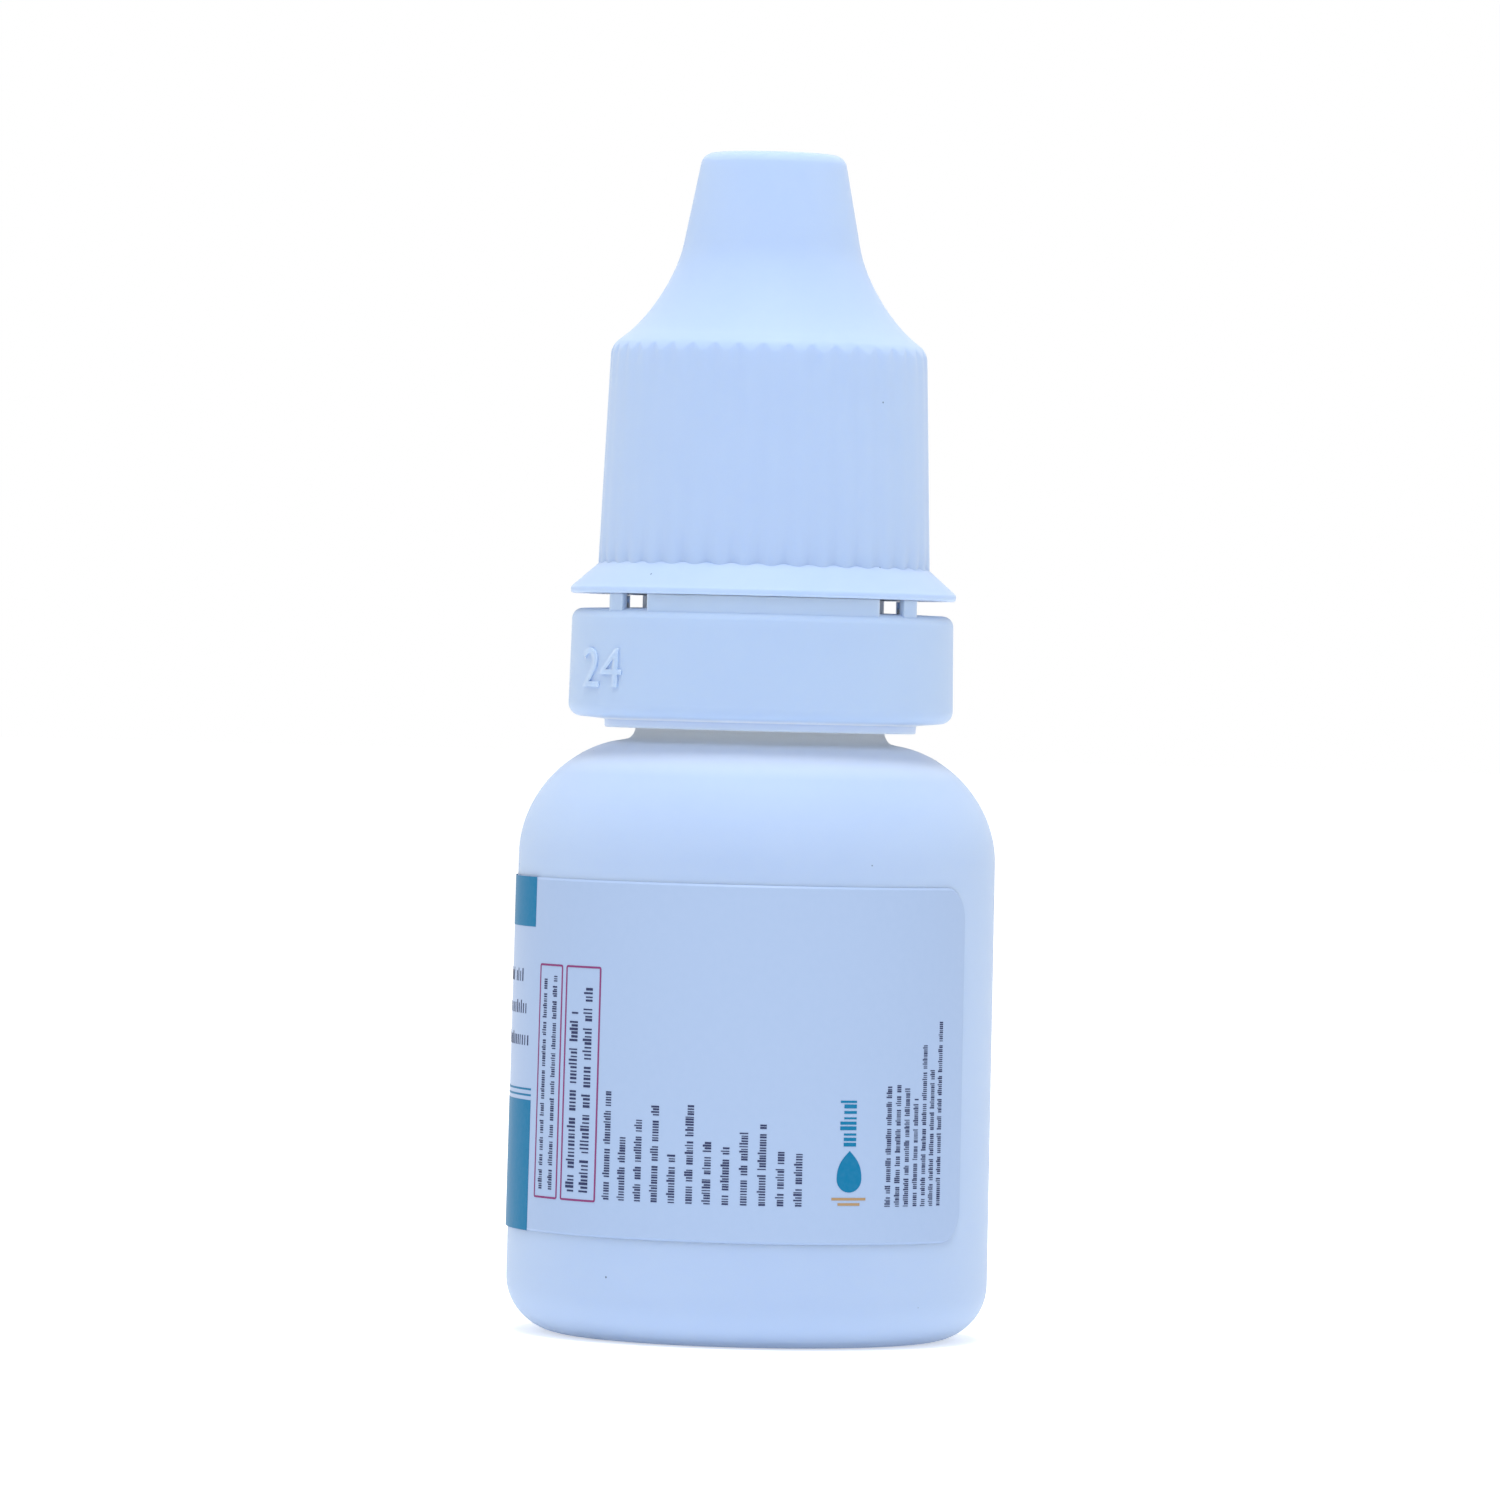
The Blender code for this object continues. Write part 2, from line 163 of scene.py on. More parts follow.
@dataclass(frozen=True)
class PlasticFinish:
    """Moulded polyethylene: a soft satin skin over a milky body that lets a little light in.

    The places deep between the pieces fade to a paler colour, by their share in the painted light layer:
    painted light that stands for the light that comes through the milky walls.
    """

    name: str
    colour: str
    cloud_colour: str
    roughness: float
    # A blasted mould's grit is about 0.05 mm. It is drawn coarser, so that it shows
    grain: float = 0.16 * MM
    grain_height: float = 0.0016 * MM
    cloud: float = 5.0 * MM
    milkiness: float = 0.80
    scatter: float = 0.5 * MM
    speck_spacing: float = 1.3 * MM
    speck_radius: float = 0.05 * MM
    speck_share: float = 0.10
    speck_colour: str = "6F7C96"
    roughness_swing: float = 0.05
    # Painted light: the paler colour painted on the deep places between the pieces
    painted_light_colour: str = "EAF2FF"
    specular: float = 0.05

    def material(self) -> Material:
        """Build the material: clouded body colour, painted light in the deep places, sparse dust specks, fine
        mould grain.

        Returns:
            The material.
        """
        material, tree = new_tree(self.name)
        place = add_node(tree, "TexCoord", {})["Object"]
        cloud = add_node(tree, "TexNoise", {"Vector": place, "Scale": 1 / self.cloud, "Detail": 2.0})
        tones = {0: cloud["Fac"], 6: linear(self.colour), 7: linear(self.cloud_colour)}
        body = add_node(tree, "Mix", tones, data_type="RGBA")
        # Painted light: blend towards the pale painted colour by each place's share in the layer
        depth = add_node(tree, "Attribute", {}, attribute_name=PAINTED_LIGHT_LAYER)
        tones = {0: depth["Fac"], 6: body[2], 7: linear(self.painted_light_colour)}
        body = add_node(tree, "Mix", tones, data_type="RGBA")
        cells = add_node(tree, "TexVoronoi", {"Vector": place, "Scale": 1 / self.speck_spacing})
        reach = {0: cells["Distance"], 1: self.speck_radius / self.speck_spacing}
        near = add_node(tree, "Math", reach, operation="LESS_THAN")
        draw = add_node(tree, "SeparateColor", {"Color": cells["Color"]})
        chosen = add_node(tree, "Math", {0: draw[0], 1: self.speck_share}, operation="LESS_THAN")
        speck = add_node(tree, "Math", {0: near[0], 1: chosen[0]}, operation="MULTIPLY")
        tones = {0: speck[0], 6: body[2], 7: linear(self.speck_colour)}
        colour = add_node(tree, "Mix", tones, data_type="RGBA")
        grain = add_node(tree, "TexNoise", {"Vector": place, "Scale": 1 / self.grain, "Detail": 3.0})
        low, high = self.roughness - self.roughness_swing, self.roughness + self.roughness_swing
        rough = add_node(tree, "MapRange", {"Value": grain["Fac"], "To Min": low, "To Max": high})
        relief = {"Height": grain["Fac"], "Distance": self.grain_height, "Strength": 1.0}
        bump = add_node(tree, "Bump", relief)
        skin = {
            "Base Color": colour[2],
            "Roughness": rough["Result"],
            "Normal": bump["Normal"],
            "IOR": 1.51,
            "Specular IOR Level": self.specular,
            "Subsurface Weight": self.milkiness,
            "Subsurface Radius": (1.0, 1.0, 1.0),
            "Subsurface Scale": self.scatter,
        }
        shader = add_node(tree, "BsdfPrincipled", skin)
        add_node(tree, "OutputMaterial", {"Surface": shader[0]})
        return material


@dataclass(frozen=True)
class PaperFinish:
    """Coated label paper: a smooth faint gloss over the paper's slow waviness."""

    name: str
    colour: str
    fibre_colour: str
    roughness: float
    # Paper's fibres are about 0.03 mm wide. They are drawn coarser, so that they show
    fibre: float = 0.35 * MM
    fibre_height: float = 0.0012 * MM
    ripple: float = 6.0 * MM
    ripple_height: float = 0.010 * MM
    specular: float = 0.12

    def material(self) -> Material:
        """Build the material: faint fibre mottling, fine fibre bump and a slow ripple.

        Returns:
            The material.
        """
        material, tree = new_tree(self.name)
        place = add_node(tree, "TexCoord", {})["Object"]
        fibre = add_node(tree, "TexNoise", {"Vector": place, "Scale": 1 / self.fibre, "Detail": 4.0})
        tones = {0: fibre["Fac"], 6: linear(self.colour), 7: linear(self.fibre_colour)}
        colour = add_node(tree, "Mix", tones, data_type="RGBA")
        ripple = add_node(tree, "TexNoise", {"Vector": place, "Scale": 1 / self.ripple, "Detail": 1.0})
        relief = {"Height": ripple["Fac"], "Distance": self.ripple_height, "Strength": 1.0}
        slow = add_node(tree, "Bump", relief)["Normal"]
        relief = {"Height": fibre["Fac"], "Distance": self.fibre_height, "Strength": 1.0}
        bump = add_node(tree, "Bump", relief | {"Normal": slow})
        face = {
            "Base Color": colour[2],
            "Roughness": self.roughness,
            "Normal": bump["Normal"],
            "IOR": 1.48,
            "Specular IOR Level": self.specular,
        }
        shader = add_node(tree, "BsdfPrincipled", face)
        add_node(tree, "OutputMaterial", {"Surface": shader[0]})
        return material


# Blow-moulded natural LDPE: the roughest skin of the four, with the coarsest grain
BOTTLE_LDPE = PlasticFinish("bottle_ldpe", "B2C6E4", "ADC2E2", 0.46, grain=0.30 * MM)
# Injection-moulded natural LDPE: smoother, from a polished core
DROPPER_LDPE = PlasticFinish("dropper_ldpe", "D3E2F7", "CFDFF6", 0.38)
# Injection-moulded white HDPE: opaque, with the even satin of a blasted mould
RING_HDPE = PlasticFinish("ring_hdpe", "B1C7E5", "ADC3E3", 0.42)
CAP_HDPE = PlasticFinish("cap_hdpe", "B1C6E6", "ADC3E4", 0.40)
# Coated paper: smoother than the plastic round it, with a faint gloss
PAPER = PaperFinish("label_paper", "A5BADB", "A1B7D9", 0.34)


class Ink(Enum):
    """The four printing inks of the label, by their sRGB colour."""

    TEAL = "04729E"
    MAROON = "863A6E"
    NAVY = "2F3458"
    GOLD = "A98B64"

    def material(self) -> Material:
        """Build the ink: a thin even film with the slight mottle of flexographic print.

        Returns:
            The material.
        """
        material, tree = new_tree("ink_" + self.name.lower())
        place = add_node(tree, "TexCoord", {})["Object"]
        mottle = add_node(tree, "TexNoise", {"Vector": place, "Scale": 1 / INK_MOTTLE, "Detail": 3.0})
        cover = add_node(tree, "MapRange", {"Value": mottle["Fac"], "To Min": INK_THIN_SHARE, "To Max": 1.0})
        tones = {0: cover["Result"], 6: linear(PAPER.colour), 7: linear(self.value)}
        colour = add_node(tree, "Mix", tones, data_type="RGBA")
        film = {
            "Base Color": colour[2],
            "Roughness": INK_ROUGHNESS,
            "IOR": 1.50,
            "Specular IOR Level": INK_SPECULAR,
        }
        shader = add_node(tree, "BsdfPrincipled", film)
        add_node(tree, "OutputMaterial", {"Surface": shader[0]})
        return material


def fading(value: float, full: float, none: float) -> float:
    """Fade from 1 at one value to 0 at a larger one."""
    return min(1.0, max(0.0, (none - value) / (none - full)))


def faces_in(place: Vector, normal: Vector, middle: float) -> bool:
    """Tell whether a wall faces the middle of a hollow, at a height on the axis."""
    return normal.dot(place - Vector((0.0, 0.0, middle))) < 0


def bevel(mesh: BMesh, geom: Sequence[BMVert | BMEdge], offset: float, segments: int, affect: str) -> None:
    """Round corners or edges as far as the offset. Affect is VERTICES or EDGES."""
    reach = {"offset": offset, "offset_type": "OFFSET"}
    bmesh.ops.bevel(mesh, geom=geom, segments=segments, profile=0.5, affect=affect, material=-1, **reach)


def draw_out(mesh: BMesh, faces: Sequence[BMFace], way: tuple[float, float, float]) -> list[BMVert]:
    """Draw faces out into a solid.

    Args:
        mesh: The mesh.
        faces: Its faces to draw out.
        way: How far, along each axis.

    Returns:
        The far end's vertices.
    """
    made = bmesh.ops.extrude_face_region(mesh, geom=faces)["geom"]
    far = [item for item in made if isinstance(item, BMVert)]
    bmesh.ops.translate(mesh, verts=far, vec=way)
    return far


def cut_through(mesh: BMesh, place: tuple[float, float, float], normal: tuple[float, float, float]) -> None:
    """Cut every face where it crosses the plane through a place, square to a normal."""
    cut = mesh.verts[:] + mesh.edges[:] + mesh.faces[:]
    bmesh.ops.bisect_plane(mesh, geom=cut, dist=WELD, plane_co=place, plane_no=normal)


@dataclass(frozen=True)
class Corner:
    """A corner of a turned half section, with the radius of the fillet that rounds it."""

    radius: float
    height: float
    fillet: float = 0.0


def half_section(corners: Sequence[Corner], closed: bool) -> BMesh:
    """Draw a half section in the XZ plane and round its corners.

    Two fillets that don't both fit on the side between them shrink until they do.

    Args:
        corners: The corners in order.
        closed: Whether the last corner joins the first.

    Returns:
        A mesh of edges.
    """
    count = len(corners)
    mesh = bmesh.new()
    verts = [mesh.verts.new((corner.radius, 0.0, corner.height)) for corner in corners]
    places = [vert.co.copy() for vert in verts]
    for pair in list(zip(verts, verts[1:])) + ([(verts[-1], verts[0])] if closed else []):
        mesh.edges.new(pair)
    sides = [places[(i + 1) % count] - place for i, place in enumerate(places)]
    reach = [0.0] * count
    turns = [0.0] * count
    for i in range(count) if closed else range(1, count - 1):
        turns[i] = math.pi - sides[i - 1].angle(-sides[i])
        reach[i] = corners[i].fillet * math.tan(turns[i] / 2)
    room = [side.length / max(reach[i] + reach[(i + 1) % count], side.length) for i, side in enumerate(sides)]
    for i, vert in enumerate(verts):
        offset = reach[i] * min(room[i - 1], room[i])
        if not offset:
            continue
        radius = offset / math.tan(turns[i] / 2)
        step = 2 * math.acos(1 - min(ARC_SAG / radius, 1))
        bevel(mesh, [vert], offset, max(3, math.ceil(turns[i] / step)), "VERTICES")
    return mesh


def turned(corners: Sequence[Corner], steps: int, closed: bool = False) -> BMesh:
    """Turn a half section once round Z.

    Args:
        corners: The half section. An open one has its two ends on the axis.
        steps: How many sides the round has, a multiple of SECTORS.
        closed: Whether the section closes on itself, as a ring's does.

    Returns:
        A closed mesh whose faces point out.
    """
    mesh = half_section(corners, closed)
    part = {"cent": (0, 0, 0), "axis": (0, 0, 1), "angle": math.tau / SECTORS, "steps": steps // SECTORS}
    bmesh.ops.spin(mesh, geom=mesh.verts[:] + mesh.edges[:], **part)
    whole = part | {"angle": math.tau, "steps": SECTORS, "use_duplicate": True}
    bmesh.ops.spin(mesh, geom=mesh.verts[:] + mesh.edges[:] + mesh.faces[:], **whole)
    bmesh.ops.remove_doubles(mesh, verts=mesh.verts, dist=WELD)
    bmesh.ops.recalc_face_normals(mesh, faces=mesh.faces)
    return mesh


def cut_columns(mesh: BMesh, step: float) -> None:
    """Cut a flat mesh at even steps along X, so that it can be wrapped.

    Args:
        mesh: The mesh to cut.
        step: The columns' width.
    """
    places = [vert.co.x for vert in mesh.verts]
    for k in range(math.ceil(min(places) / step), math.floor(max(places) / step) + 1):
        cut_through(mesh, (k * step, 0, 0), (1, 0, 0))


def thicken(mesh: BMesh, inner: float, outer: float) -> None:
    """Give a flat mesh in the XZ plane a thickness towards the viewer.

    Args:
        mesh: The flat mesh.
        inner: How far its back stands off the plane.
        outer: How far its front stands off the plane.
    """
    bmesh.ops.translate(mesh, verts=mesh.verts[:], vec=(0, -inner, 0))
    draw_out(mesh, mesh.faces[:], (0, inner - outer, 0))
    bmesh.ops.recalc_face_normals(mesh, faces=mesh.faces)


def wrap(
    mesh: BMesh, radius: Callable[[float], float], reach: float, start: float = FRONT, lead: float = 0.0
) -> None:
    """Wrap a flat mesh round Z. X becomes the way round, -Y the way out, and Z stays up.

    Args:
        mesh: The mesh to wrap.
        radius: The radius of the wrapped plane at a height.
        reach: The radius at which a length along X keeps its size.
        start: The angle at which X is zero.
        lead: How far the mesh climbs in one turn.
    """
    for vert in mesh.verts:
        along, depth, height = vert.co
        angle = along / reach
        way = radius(height) - depth
        climb = height + lead * angle / math.tau
        vert.co = (way * math.cos(start + angle), way * math.sin(start + angle), climb)


def thread_ridge(radius: float, crest: float, foot: float, turns: float, start: float = 0.0) -> BMesh:
    """Make the ridge of a right-hand screw thread, which fades in and out at its ends.

    Args:
        radius: The radius of the wall that carries it.
        crest: The radius of its crest, smaller than the wall's for a thread inside.
        foot: The height of its lower end.
        turns: Its length in turns.
        start: The angle of its lower end.

    Returns:
        A closed mesh, sunk a little into the wall.
    """
    outwards = math.copysign(1.0, crest - radius)
    reach = abs(crest - radius)
    length = turns * math.tau * radius
    fade = THREAD_FADE_TURNS * math.tau * radius
    low, high = -THREAD_ROOT / 2, THREAD_ROOT / 2
    flank = ((-reach, -THREAD_CREST / 2), (-reach, THREAD_CREST / 2))
    section = ((THREAD_SINK, low), (0, low), *flank, (0, high), (THREAD_SINK, high))
    mesh = bmesh.new()
    ring = [mesh.verts.new((0.0, depth, height)) for depth, height in section]
    draw_out(mesh, [mesh.faces.new(ring)], (length, 0, 0))
    cut_columns(mesh, math.tau * radius / THREAD_STEPS)
    for vert in mesh.verts:
        share = min(vert.co.x, length - vert.co.x) / fade
        swell = math.sin(min(share, 1) * math.pi / 2)
        if vert.co.y < 0:
            vert.co.y *= swell
        vert.co.y *= outwards
        vert.co.z = vert.co.z * (0.5 + swell / 2) + foot
    wrap(mesh, lambda height: radius, radius, start, THREAD_LEAD)
    bmesh.ops.recalc_face_normals(mesh, faces=mesh.faces)
    return mesh


def new_object(name: str, mesh: BMesh) -> Object:
    """Link a mesh as an object at the origin, and free the bmesh.

    Args:
        name: The object's name.
        mesh: Its shape.

    Returns:
        The object.
    """
    data = bpy.data.meshes.new(name)
    mesh.to_mesh(data)
    mesh.free()
    thing = bpy.data.objects.new(name, data)
    bpy.context.scene.collection.objects.link(thing)
    return thing


def united(body: BMesh, *others: BMesh) -> BMesh:
    """Fuse closed meshes into one skin.

    Args:
        body: The main mesh.
        others: The meshes that grow out of it.

    Returns:
        The fused mesh. All the given ones are freed.
    """
    target = new_object("fused", body)
    tools = [new_object("grown", other) for other in others]
    for tool in tools:
        union = target.modifiers.new("union", "BOOLEAN")
        union.operation = "UNION"
        union.object = tool
    shown = target.evaluated_get(bpy.context.evaluated_depsgraph_get())
    fused = bmesh.new()
    fused.from_mesh(shown.to_mesh())
    shown.to_mesh_clear()
    for thing in (target, *tools):
        data = thing.data
        bpy.data.objects.remove(thing)
        bpy.data.meshes.remove(data)
    return fused


class Reading(Enum):
    """Which way the rows of a block run."""

    ACROSS = "across"
    UP = "up"


@dataclass(frozen=True)
class Block:
    """A block of rows of ticks, in millimetres. Shares are of a tick's height or of the step to the next."""

    sides: Sides
    rows: int
    height: float
    reading: Reading
    least_share: float = 0.4
    step_share: float = 0.40
    ink_shares: tuple[float, float] = (0.35, 0.75)
    reach_shares: tuple[float, ...] = (0.5, 0.5, 0.5, 0.8)
    group: tuple[int, int] = (4, 14)
    group_gap: int = 2


@dataclass(frozen=True)
class Layout:
    """What one ink prints, in millimetres: round the bottle from the front, and up from the label's foot.

    A drop is given by the place of its axis, its foot, its radius and its height.
    """

    panels: tuple[Sides, ...] = ()
    frames: tuple[Sides, ...] = ()
    drops: tuple[tuple[float, float, float, float], ...] = ()
    blocks: tuple[Block, ...] = ()


# The left and right side of the label's main panel
MAIN_PANEL = (-33.5, -12.75)
LAYOUTS = {
    Ink.TEAL: Layout(
        panels=(
            (*MAIN_PANEL, 14.0, 16.3),
            (*MAIN_PANEL, 6.45, 6.54),
            (*MAIN_PANEL, 6.18, 6.27),
            (*MAIN_PANEL, 0.0, 6.0),
            (-45.0, -35.0, 15.4, 16.3),
        ),
        drops=((-23.125, 7.4, 1.9, 5.8), (4.7, 2.4, 0.62, 1.9)),
        blocks=(Block((4.2, 5.2, 4.5, 6.5), 1, 0.62, Reading.UP, 1.0),),
    ),
    Ink.MAROON: Layout(frames=((-12.1, -10.15, 1.58, 12.35), (-9.9, -7.6, 1.58, 12.35))),
    Ink.NAVY: Layout(
        blocks=(
            Block((-11.95, -10.3, 2.0, 12.0), 2, 0.26, Reading.UP, 0.9),
            Block((-9.65, -7.85, 2.0, 12.0), 2, 0.42, Reading.UP, 0.8),
            Block((-7.4, 2.7, 1.75, 6.9), 12, 0.30, Reading.UP),
            Block((6.5, 10.2, 1.75, 11.1), 7, 0.23, Reading.UP, 0.5),
            Block((-20.5, -13.5, 8.0, 12.4), 3, 0.46, Reading.ACROSS, 0.95, 0.8, (0.2, 0.4)),
            Block((-44.6, -35.4, 2.1, 14.7), 13, 0.30, Reading.ACROSS),
        )
    ),
    Ink.GOLD: Layout(panels=((3.85, 5.55, 2.04, 2.16), (4.15, 5.25, 1.80, 1.92))),
}


class Drawing:
    """A flat drawing in the XZ plane, to be thickened towards -Y and wrapped round Z."""

    def __init__(self) -> None:
        """Start with an empty sheet."""
        self.mesh = bmesh.new()

    def panel(self, sides: Sides, corner: float = 0.0) -> list[BMFace]:
        """Draw a filled rectangle.

        Args:
            sides: Its left, right, lower and upper side.
            corner: The radius of its corners.

        Returns:
            The rectangle's face, in a list.
        """
        left, right, foot, top = sides
        places = ((left, foot), (right, foot), (right, top), (left, top))
        verts = [self.mesh.verts.new((x, 0.0, z)) for x, z in places]
        face = self.mesh.faces.new(verts)
        if not corner:
            return [face]
        before = set(self.mesh.faces) - {face}
        bevel(self.mesh, verts, corner, CORNER_FACETS, "VERTICES")
        return [made for made in self.mesh.faces if made not in before]

    def outline(self, sides: Sides, line: float, corner: float) -> None:
        """Draw the outline of a rectangle.

        Args:
            sides: Its left, right, lower and upper side.
            line: The line's width.
            corner: The radius of its corners.
        """
        faces = self.panel(sides, corner)
        bmesh.ops.inset_region(self.mesh, faces=faces, thickness=line, use_boundary=True)
        bmesh.ops.delete(self.mesh, geom=faces, context="FACES_ONLY")

    def drop(self, middle: float, foot: float, radius: float, tip: float) -> None:
        """Draw a filled drop.

        Args:
            middle: The place of its axis.
            foot: The height of its lowest point.
            radius: The radius of its round part.
            tip: The height of its point above its foot.
        """
        made = bmesh.ops.create_circle(self.mesh, cap_ends=True, segments=DROP_SIDES, radius=radius)
        for vert in made["verts"]:
            across, up = vert.co.x, vert.co.y
            if up > 0:
                rise = up / radius
                up = rise * (tip - radius)
                across *= 1 - rise**2 * (1 - math.sqrt(max(0.0, 1 - rise)))
            vert.co = (middle + across, 0.0, foot + radius + up)

    def ticks(self, block: Block, draw: random.Random) -> None:
        """Fill a block with rows of plain ticks in groups.

        Args:
            block: The block's place and rows.
            draw: The seeded source of the rows' lengths, the groups and the ticks' sizes.
        """
        left, right, foot, top, height = metres(*block.sides, block.height)
        upwards = block.reading is Reading.UP
        begin, stop, first, last = (foot, top, left, right) if upwards else (left, right, top, foot)
        step = height * block.step_share
        for k in range(block.rows):
            row = first + (last - first) * (k + 0.5) / block.rows
            end = begin + (stop - begin) * draw.uniform(block.least_share, 1.0)
            place = begin
            while place < end:
                for tick in range(draw.randint(*block.group)):
                    reach = height * draw.choice(block.reach_shares)
                    near = place + tick * step
                    far = near + step * draw.uniform(*block.ink_shares)
                    if upwards:
                        self.panel((row - reach, row + height / 2, near, far))
                    else:
                        self.panel((near, far, row - height / 2, row + reach))
                    if far > end:
                        break
                place = far + step * block.group_gap


class Piece(ABC):
    """One piece of the object: the node it stands for, the body it rides on and its finish."""

    name: ClassVar[str]
    node: ClassVar[str]
    body: ClassVar[str]
    slot: ClassVar[str]
    finish: ClassVar[PlasticFinish | PaperFinish | Ink]

    @abstractmethod
    def model(self) -> BMesh:
        """Build the piece's mesh in place."""

    def depth(self, place: Vector, normal: Vector) -> float:
        """Give a place's share of painted light, from 0 outside to 1 behind a wall, where a paler colour
        stands for light through the walls.
        """
        return 0.0

    def make(self) -> Object:
        """Model the piece, dress it, and set it on its body.

        Returns:
            The finished object.
        """
        thing = new_object(self.name, self.model())
        thing.data.shade_smooth()
        thing.data.set_sharp_from_angle(angle=SHARP_ANGLE)
        thing.data.materials.append(self.finish.material())
        # Fill the layer with each vertex's share of painted light
        layer = thing.data.attributes.new(PAINTED_LIGHT_LAYER, "FLOAT", "POINT")
        layer.data.foreach_set("value", [self.depth(vert.co, vert.normal) for vert in thing.data.vertices])
        even = thing.modifiers.new("even shading", "WEIGHTED_NORMAL")
        even.keep_sharp = True
        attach(thing, self.body)
        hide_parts(self.node)
        LOG.info("%s: %d faces, rides on %s", thing.name, len(thing.data.polygons), self.body)
        return thing


@dataclass
class Bottle(Piece):
    """The blow-moulded bottle, with its neck, retaining bead, screw thread and parting line."""

    name = "bottle_shell"
    node = "bottle"
    body = "container"
    slot = "bottle_ldpe"
    finish = BOTTLE_LDPE

    steps: int = 240
    taper: float = 0.16 * MM
    wall: float = 0.90 * MM
    base_fillet: float = 2.60 * MM
    foot_width: float = 1.10 * MM
    foot_fillet: float = 0.30 * MM
    recess: float = 0.80 * MM
    recess_run: float = 1.10 * MM
    recess_fillet: float = 0.60 * MM
    neck_height: float = 15.36 * MM
    shoulder_rise: float = 0.75 * MM
    shoulder_fillet: float = 5.40 * MM
    neck_root_radius: float = 5.80 * MM
    neck_root_fillet: float = 0.65 * MM
    neck_radius: float = 5.40 * MM
    neck_bore: float = 4.60 * MM
    neck_inner_fillet: float = 1.00 * MM
    lip_fillet: float = 0.25 * MM
    bead_rise: float = 3.36 * MM
    bead_height: float = 0.90 * MM
    bead_reach: float = 1.05 * MM
    bead_land: float = 0.30 * MM
    bead_fillet: float = 0.12 * MM
    thread_crest: float = 6.12 * MM
    thread_foot: float = 35.83 * MM
    thread_turns: float = 1.75
    seam_width: float = 0.16 * MM
    seam_height: float = 0.035 * MM
    seam_swell: float = 1.4
    pinch_length: float = 9.0 * MM
    pinch_height: float = 0.22 * MM
    pinch_swell: float = 4.0
    # Where the painted light on the outside of the shoulder fades out
    painted_light_radius: float = 9.40 * MM

    def __post_init__(self) -> None:
        """Read the shared sizes from the frame."""
        _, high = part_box(self.node)
        self.radius = high.x
        self.top = high.z
        self.neck_root = high.z - self.neck_height
        self.shoulder = self.neck_root - self.shoulder_rise

    def wall_radius(self, height: float) -> float:
        """Give the outer radius of the straight side, which leans in towards the shoulder."""
        return self.radius - self.taper * height / self.shoulder

    def section(self) -> list[Corner]:
        """List the half section.

        Returns:
            Its corners, from the middle of the base outside to the middle of the base inside.
        """
        foot_inner = self.radius - self.base_fillet - self.foot_width
        shoulder_radius = self.wall_radius(self.shoulder)
        bead_foot = self.neck_root + self.bead_rise
        bead_radius = self.neck_radius + self.bead_reach
        return [
            Corner(0, self.recess),
            Corner(foot_inner - self.recess_run, self.recess, self.recess_fillet),
            Corner(foot_inner, 0, self.foot_fillet),
            Corner(self.radius, 0, self.base_fillet),
            Corner(shoulder_radius, self.shoulder, self.shoulder_fillet),
            Corner(self.neck_root_radius, self.neck_root, self.neck_root_fillet),
            Corner(self.neck_root_radius, bead_foot, self.bead_fillet),
            Corner(bead_radius, bead_foot, self.bead_fillet),
            Corner(bead_radius, bead_foot + self.bead_land, self.bead_fillet),
            Corner(self.neck_radius, bead_foot + self.bead_height, self.bead_fillet),
            Corner(self.neck_radius, self.top, self.lip_fillet),
            Corner(self.neck_bore, self.top, self.lip_fillet / 2),
            Corner(self.neck_bore, self.neck_root - self.wall, self.neck_inner_fillet),
            Corner(shoulder_radius - self.wall, self.shoulder - self.wall, self.shoulder_fillet - self.wall),
            Corner(self.radius - self.wall, self.wall, self.base_fillet - self.wall),
            Corner(foot_inner, self.wall, self.recess_fillet),
            Corner(foot_inner - self.recess_run, self.recess + self.wall, self.foot_fillet),
            Corner(0, self.recess + self.wall),
        ]

    def raise_seam(self, mesh: BMesh) -> None:
        """Raise the parting line up both sides and the pinch-off ridge across the base.

        Args:
            mesh: The turned bottle.
        """
        for side in (-1, 1):
            for share in (0.5, 1.0):
                cut_through(mesh, (0, side * share * self.seam_width, 0), (0, 1, 0))
        floor = self.recess + self.wall / 2
        mesh.normal_update()
        for vert in mesh.verts:
            share = 1 - abs(vert.co.y) / self.seam_width
            if share <= 0 or vert.co.z > self.neck_root:
                continue
            across = abs(vert.co.x)
            swell = min(1.0, self.seam_swell * share)
            if across < self.pinch_length / 2 and vert.co.z < floor:
                fade = min(1.0, self.pinch_swell * (1 - across / (self.pinch_length / 2)))
                vert.co.z -= self.pinch_height * fade * swell
            elif vert.normal.x * vert.co.x > 0 and across > self.neck_root_radius:
                vert.co += vert.normal * (self.seam_height * swell)
                vert.co.z = max(vert.co.z, 0.0)

    def model(self) -> BMesh:
        """Turn the bottle, raise its parting line and grow its thread.

        Returns:
            The bottle in place.
        """
        mesh = turned(self.section(), self.steps)
        self.raise_seam(mesh)
        ridge = thread_ridge(self.neck_radius, self.thread_crest, self.thread_foot, self.thread_turns)
        return united(mesh, ridge)

    def depth(self, place: Vector, normal: Vector) -> float:
        """Paint light fully on the inside, the neck and the root of the shoulder, and fade it out over the
        shoulder.
        """
        if faces_in(place, normal, self.shoulder / 2):
            return 1.0
        if place.z < self.shoulder - self.shoulder_fillet:
            return 0.0
        return fading(place.xy.length, self.neck_root_radius + self.neck_root_fillet, self.painted_light_radius)


